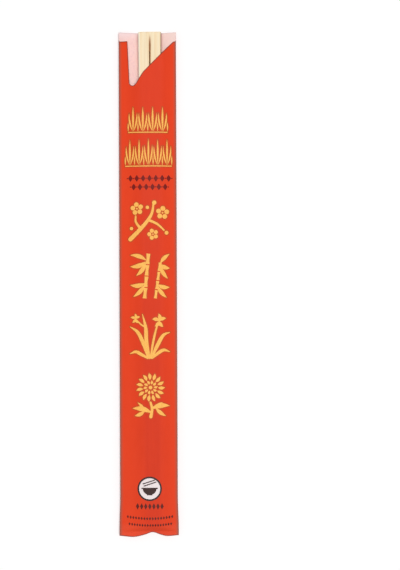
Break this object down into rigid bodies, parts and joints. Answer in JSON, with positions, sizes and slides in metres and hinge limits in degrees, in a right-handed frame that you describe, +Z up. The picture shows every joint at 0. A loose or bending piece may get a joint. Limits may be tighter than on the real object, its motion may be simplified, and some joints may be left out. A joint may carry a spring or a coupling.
{
  "type": "bamboo chopsticks",
  "caption": "Unsplit bamboo twin chopsticks in a flat red paper sleeve, open at one end, with a finger notch cut in its front.",
  "frame": {"origin": "middle of the underside of the packet, on the surface that it lies on", "axes": "+Z up out of the front panel, +Y along the length towards the open mouth, +X to the right of someone looking down on the front"},
  "size_m": [0.0276, 0.235, 0.0055],
  "materials": {
    "printed_paper": "thin uncoated paper, printed red outside",
    "bamboo": "planed pale bamboo, unvarnished"
  },
  "bodies": {
    "root": {"paper_sleeve": "printed_paper", "twin_chopsticks": "bamboo"}
  },
  "joints": []
}
